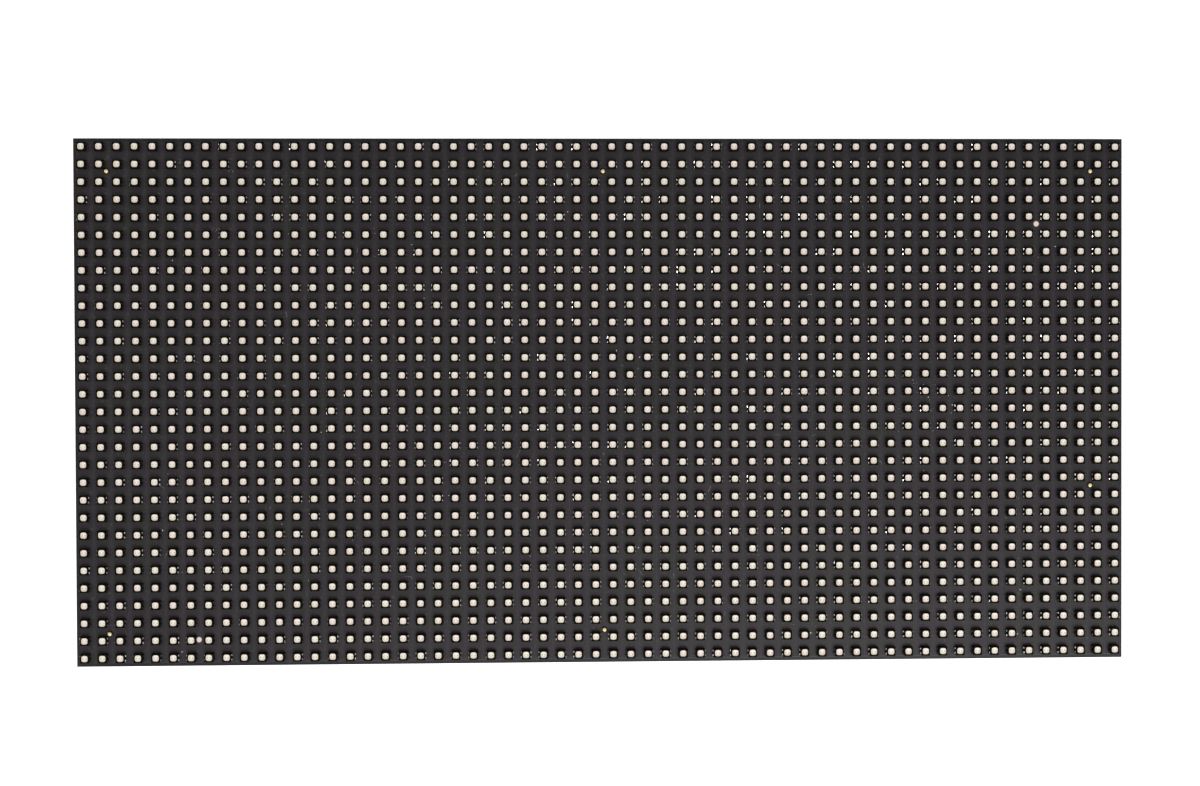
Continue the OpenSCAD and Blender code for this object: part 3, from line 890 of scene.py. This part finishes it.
def clear_spot(column, row):
    """Moves a place that would be under a lamp into the gap beside it."""
    dx, dy = column - round(column), row - round(row)
    if max(abs(dx), abs(dy)) < 0.34:
        column = round(column) + (0.5 if dx >= 0 else -0.5) + random.uniform(-0.12, 0.12)
    return lamp_place(column, row)


CRUMB_CORNERS = (0.0, 0.9, 2.1, 3.0, 4.2, 5.3)
crumb = sewn_rings([[(math.cos(a), math.sin(a)) for a in CRUMB_CORNERS],
                    [(0.7 * math.cos(a), 0.8 * math.sin(a)) for a in CRUMB_CORNERS]],
                   [0.0, 0.25], close_first=True, close_last=True)
crumb_spots = [clear_spot(random.gauss(CLUSTER[0], 1.1), random.gauss(CLUSTER[1], 0.9))
               for _ in range(CRUMBS_IN_CLUSTER)]
crumb_spots += [clear_spot(random.uniform(0, COLUMNS - 1.4), random.uniform(0, ROWS - 1))
                for _ in range(CRUMBS_ELSEWHERE)]
crumb_radii = [random.uniform(0.05, 0.12) if random.random() < 0.85 else random.uniform(0.14, 0.24)
               for _ in crumb_spots]
crumb_sizes = [(r, r * random.uniform(0.5, 1), r) for r in crumb_radii]
crumb_turns = [random.uniform(0, math.tau) for _ in crumb_spots]
crumbs = copies_object("dust_crumbs", crumb, crumb_spots, crumb_sizes, crumb_turns)
dress(crumbs, pale_dust, "bare_pad")

# %% [markdown]
# ## Fibres
# A fibre is a thin tube along a curve. Each is walked in short steps with a slowly changing
# heading, so that it curls by itself. It starts midway between two columns and mostly runs
# along them.
# %% Lay fibres
FIBRE_R = 0.018
FIBRE_SIDES = 4
FIBRE_STEPS = 10
FIBRE_CURL = 0.25


def fibre(start, length):
    """Points and faces of a thin tube that starts at start and curls over the board."""
    heading = random.choice((-1, 1)) * math.pi / 2 + random.uniform(-0.5, 0.5)
    turn, path = random.uniform(-FIBRE_CURL, FIBRE_CURL), [start]
    for _ in range(FIBRE_STEPS):
        heading += turn + random.uniform(-0.2, 0.2)
        path.append(path[-1] + Vector((math.cos(heading), math.sin(heading), 0)) * length / FIBRE_STEPS)
    outlines = []
    for k, place in enumerate(path):
        ahead = (path[min(k + 1, FIBRE_STEPS)] - path[max(k - 1, 0)]).normalized()
        for s in range(FIBRE_SIDES):
            angle = math.tau * s / FIBRE_SIDES
            aside = Vector((-ahead.y, ahead.x, 0)) * math.cos(angle) * FIBRE_R
            outlines.append(tuple(place + aside + Vector((0, 0, FIBRE_R * (1 + math.sin(angle))))))
    faces = [[k * FIBRE_SIDES + s, k * FIBRE_SIDES + (s + 1) % FIBRE_SIDES,
              (k + 1) * FIBRE_SIDES + (s + 1) % FIBRE_SIDES, (k + 1) * FIBRE_SIDES + s]
             for k in range(FIBRE_STEPS) for s in range(FIBRE_SIDES)]
    last = FIBRE_STEPS * FIBRE_SIDES
    faces += [list(range(FIBRE_SIDES)), list(range(last, last + FIBRE_SIDES))]
    return turned_outwards(outlines, faces)


def fibre_start():
    """A place midway between two columns, in mm on the board's face."""
    spot = lamp_place(random.randint(0, COLUMNS - 2) + 0.5, random.uniform(0.6, ROWS - 1.6))
    return Vector((spot.x / MM, spot.y / MM, 0))


fibres = joined(*[fibre(fibre_start(), random.uniform(0.8, 2.6)) for _ in range(34)])
dress(copies_object("lint_fibres", fibres, [(0, 0, FACE_Z)]), pale_dust, "bare_pad")

# %% [markdown]
# ## Chip leads
# The packages are flat blocks with a row of bent tin leads on each long side: out of the
# package at half height, down to the board, and a short foot. One lead is drawn, then copied
# along both sides of each package.
# %% Build the chip leads
GULL_PROFILE = [(-0.05, -0.93), (0.33, -0.93), (0.56, -0.18), (1.0, -0.18), (1.0, -0.02), (0.44, -0.02),
                (0.22, -0.77), (-0.05, -0.77)]
CHIP_LEADS = {"column_drivers": (12, 0.635, 0.25), "row_switches": (4, 1.27, 0.42),
              "row_decoders": (8, 1.27, 0.42), "line_buffers": (10, 1.27, 0.42)}
gull_wing = bent_bar(GULL_PROFILE, 1.0)
spots, sizes, turns = [], [], []
for name, (count, pitch, width) in CHIP_LEADS.items():
    for middle, size in solids[name]:
        along_x = size.x > size.y
        reach = min(size.x, size.y) / 2
        for k in range(count):
            run = (k - (count - 1) / 2) * pitch * MM
            for side in (-1, 1):
                offset = (run, side * reach) if along_x else (side * reach, run)
                spots.append((middle.x + offset[0], middle.y + offset[1], REAR_Z))
                sizes.append((1, width, size.z / MM / 1.6))
                turns.append(side * math.pi / 2 if along_x else (0 if side > 0 else math.pi))
dress(copies_object("chip_leads", gull_wing, spots, sizes, turns), dip_tin, "tin_pin")

# %% [markdown]
# ## Marks on the packages
# A shallow polished dimple shows which corner holds the first lead.
# %% Build the dimples
dimple = turned_part([(0, 0.0), (0.4, 0.0), (0.4, -0.012), (0, -0.012)], 20)
dimple_spots = [middle + Vector((0.9 * MM - size.x / 2, 0.9 * MM - size.y / 2, -size.z / 2))
                for name in CHIP_LEADS for middle, size in solids[name]]
dress(copies_object("package_dimples", dimple, dimple_spots), glazed_black, "chip_black")

# %% [markdown]
# ## Small chip parts
# Capacitors and resistors are bare ceramic blocks with a tinned cap on each end. The block
# and its two caps are drawn once for each kind.
# %% Build capacitors and resistors
CAP_SHARE = 0.22


def end_capped(node, body_name, caps_name, body_material, slot_name):
    """Blocks with tinned ends in place of a node's plain blocks."""
    size = solids[node][0][1] / MM
    places = [middle for middle, _ in solids[node]]
    cap_l = size.y * CAP_SHARE
    body = block((size.x - 0.04, size.y - 0.06, size.z - 0.04))
    caps = [block((size.x, cap_l, size.z), (0, side * (size.y - cap_l) / 2, 0)) for side in (-1, 1)]
    for name, shape, material, own_slot in ((body_name, body, body_material, slot_name),
                                            (caps_name, joined(*caps), dip_tin, "tin_pin")):
        piece = copies_object(name, shape, places)
        soften_edges(piece, 0.04 * MM, 1)
        dress(piece, material, own_slot, node)


end_capped("bypass_capacitors", "capacitor_blocks", "capacitor_caps", fired_ceramic, "ceramic")
end_capped("current_resistors", "resistor_blocks", "resistor_caps", glazed_black, "resistor_black")

# %% [markdown]
# ## Electrolytic capacitors
# Each can is drawn from aluminium, with a groove crimped above its plastic foot and a rounded
# rim. A black segment on top marks the minus side, and the foot has two cut corners that mark
# the plus side.
# %% Build the cans and feet
can_r, can_l = radius_and_length("capacitor_cans")
can_profile = [(0, 0), (can_r, 0), (can_r, 0.6), (can_r - 0.22, 0.85), (can_r - 0.22, 1.0), (can_r, 1.25),
               (can_r, can_l - 0.45), (can_r - 0.13, can_l - 0.13), (can_r - 0.45, can_l), (0, can_l)]
can_shape = turned_part([(r, -z) for r, z in can_profile], 48)
can_roots = [middle + Vector((0, 0, size.z / 2)) for middle, size in solids["capacitor_cans"]]
dress(copies_object("drawn_cans", can_shape, can_roots), drawn_aluminium, "can_aluminium", "capacitor_cans")
arc = [math.radians(a) for a in range(-48, 49, 8)]
segment_outline = [((can_r - 0.5) * math.cos(a), (can_r - 0.5) * math.sin(a)) for a in arc]
segment = sewn_rings([segment_outline] * 2, [-can_l - 0.012, -can_l], close_first=True, close_last=True)
dress(copies_object("minus_segments", segment, can_roots), glazed_black, "can_base")
foot_size = solids["capacitor_bases"][0][1] / MM
half, half_h = foot_size.x / 2, foot_size.z / 2
cut = half - 1.2
foot_outline = [(half, -half), (half, half), (-cut, half), (-half, cut), (-half, -cut), (-cut, -half)]
foot = sewn_rings([foot_outline] * 2, [-half_h, half_h], close_first=True, close_last=True)
dress(copies_object("can_feet", foot, [middle for middle, _ in solids["capacitor_bases"]]), shroud_black,
      "can_base", "capacitor_bases")

# %% [markdown]
# ## Screws
# The frame screws have flat round heads with a cross recess. The head is turned, then a
# tapered cross is taken out of it with a boolean modifier, and the finished shape is copied.
# %% Build the screws
HEAD_H = 2.0
head_r, screw_l = radius_and_length("frame_screws")
screw_profile = [(0, 0), (head_r - 0.9, 0), (head_r - 0.35, 0.18), (head_r - 0.05, 0.6), (head_r, 1.1),
                 (head_r, HEAD_H), (1.5, HEAD_H), (1.5, screw_l - 0.4), (1.1, screw_l), (0, screw_l)]
arm_points, arm_faces = bent_bar([(-1.45, -0.3), (1.45, -0.3), (0.6, 1.25), (-0.6, 1.25)], 0.62)
cross = [(arm_points, arm_faces), ([(-y, x, z) for x, y, z in arm_points], arm_faces)]


def carved(name, shape, cutters):
    """Points and faces of a shape with other shapes taken out of it."""
    work = mesh_object(name, *shape)
    for index, cutter in enumerate(cutters):
        cut = work.modifiers.new("recess", "BOOLEAN")
        cut.object = mesh_object(f"{name}_cutter_{index}", *cutter)
        cut.solver = "EXACT"
    bpy.context.view_layer.update()
    done = work.evaluated_get(bpy.context.evaluated_depsgraph_get())
    mesh = done.to_mesh()
    result = [tuple(v.co) for v in mesh.vertices], [list(face.vertices) for face in mesh.polygons]
    done.to_mesh_clear()
    for made in [o for o in scene.objects if o.name.startswith(name)]:
        bpy.data.objects.remove(made)
    return result


screw_shape = carved("screw_blank", turned_part(screw_profile, 40), cross)
screw_spots = [middle - Vector((0, 0, size.z / 2)) for middle, size in solids["frame_screws"]]
screw_turns = [random.uniform(0, math.tau) for _ in screw_spots]
dress(copies_object("cross_screws", screw_shape, screw_spots, turns=screw_turns), zinc_steel, "screw_steel",
      "frame_screws")

# %% [markdown]
# ## Threaded inserts
# The cabinet's screws go into brass inserts that are pressed into the frame. Each is a sleeve
# with a broken inner edge and a thread: a small ridge wound up the bore.
# %% Build the inserts
BORE_R = 1.25
THREAD_STEP = 0.5
THREAD_DEPTH = 0.16
THREAD_SIDES = 20
sleeve_r, sleeve_l = radius_and_length("mounting_inserts")
sleeve = turned_part([(BORE_R, 0.35), (BORE_R + 0.35, 0.0), (sleeve_r - 0.12, 0.0), (sleeve_r, 0.12),
                      (sleeve_r, sleeve_l), (BORE_R, sleeve_l)], 36)


def inner_thread(start, turns):
    """A ridge wound up the inside of a bore."""
    points = []
    for k in range(turns * THREAD_SIDES + 1):
        angle, rise = math.tau * k / THREAD_SIDES, start + THREAD_STEP * k / THREAD_SIDES
        for r, z in ((BORE_R + 0.02, 0.0), (BORE_R - THREAD_DEPTH, 0.35), (BORE_R + 0.02, 0.7)):
            points.append((r * math.cos(angle), r * math.sin(angle), rise + z * THREAD_STEP))
    faces = [[3 * k + a, 3 * k + (a + 1) % 3, 3 * k + 3 + (a + 1) % 3, 3 * k + 3 + a]
             for k in range(turns * THREAD_SIDES) for a in range(3)]
    last = 3 * turns * THREAD_SIDES
    return turned_outwards(points, faces + [[0, 1, 2], [last, last + 1, last + 2]])


insert_spots = [middle - Vector((0, 0, size.z / 2)) for middle, size in solids["mounting_inserts"]]
insert_shape = joined(sleeve, inner_thread(0.5, int((sleeve_l - 1) / THREAD_STEP)))
dress(copies_object("insert_sleeves", insert_shape, insert_spots), turned_brass, "brass",
      "mounting_inserts")

# %% [markdown]
# ## The construction nodes that stay
# The board, the frame, the packages and the headers keep their construction meshes. They get
# their finishes, and the moulded pieces get softly broken edges from a bevel modifier.
# %% Dress the construction nodes


def dress_node(name, material, edge_width=0.0):
    """Gives a construction node a finish and, if asked, broken edges."""
    piece = nodes[name]
    piece.data.materials.clear()
    piece.data.materials.append(material)
    if edge_width:
        soften_edges(piece, edge_width)


FINISHES = {"circuit_board": (mask_black, 0), "rear_frame": (frame_black, 0.25),
            "board_standoffs": (turned_brass, 0), "alignment_marks": (mark_tin, 0),
            "power_header": (nylon_white, 0.15), "power_terminals": (dip_tin, 0.18)}
FINISHES.update({name: (chip_black, 0.12) for name in CHIP_LEADS})
for end in ("input", "output"):
    FINISHES.update({f"{end}_header": (shroud_black, 0.12), f"{end}_pins": (gold_flash, 0.12)})
for name, (material, edge_width) in FINISHES.items():
    dress_node(name, material, edge_width * MM)
print("dressed nodes:", len(FINISHES))
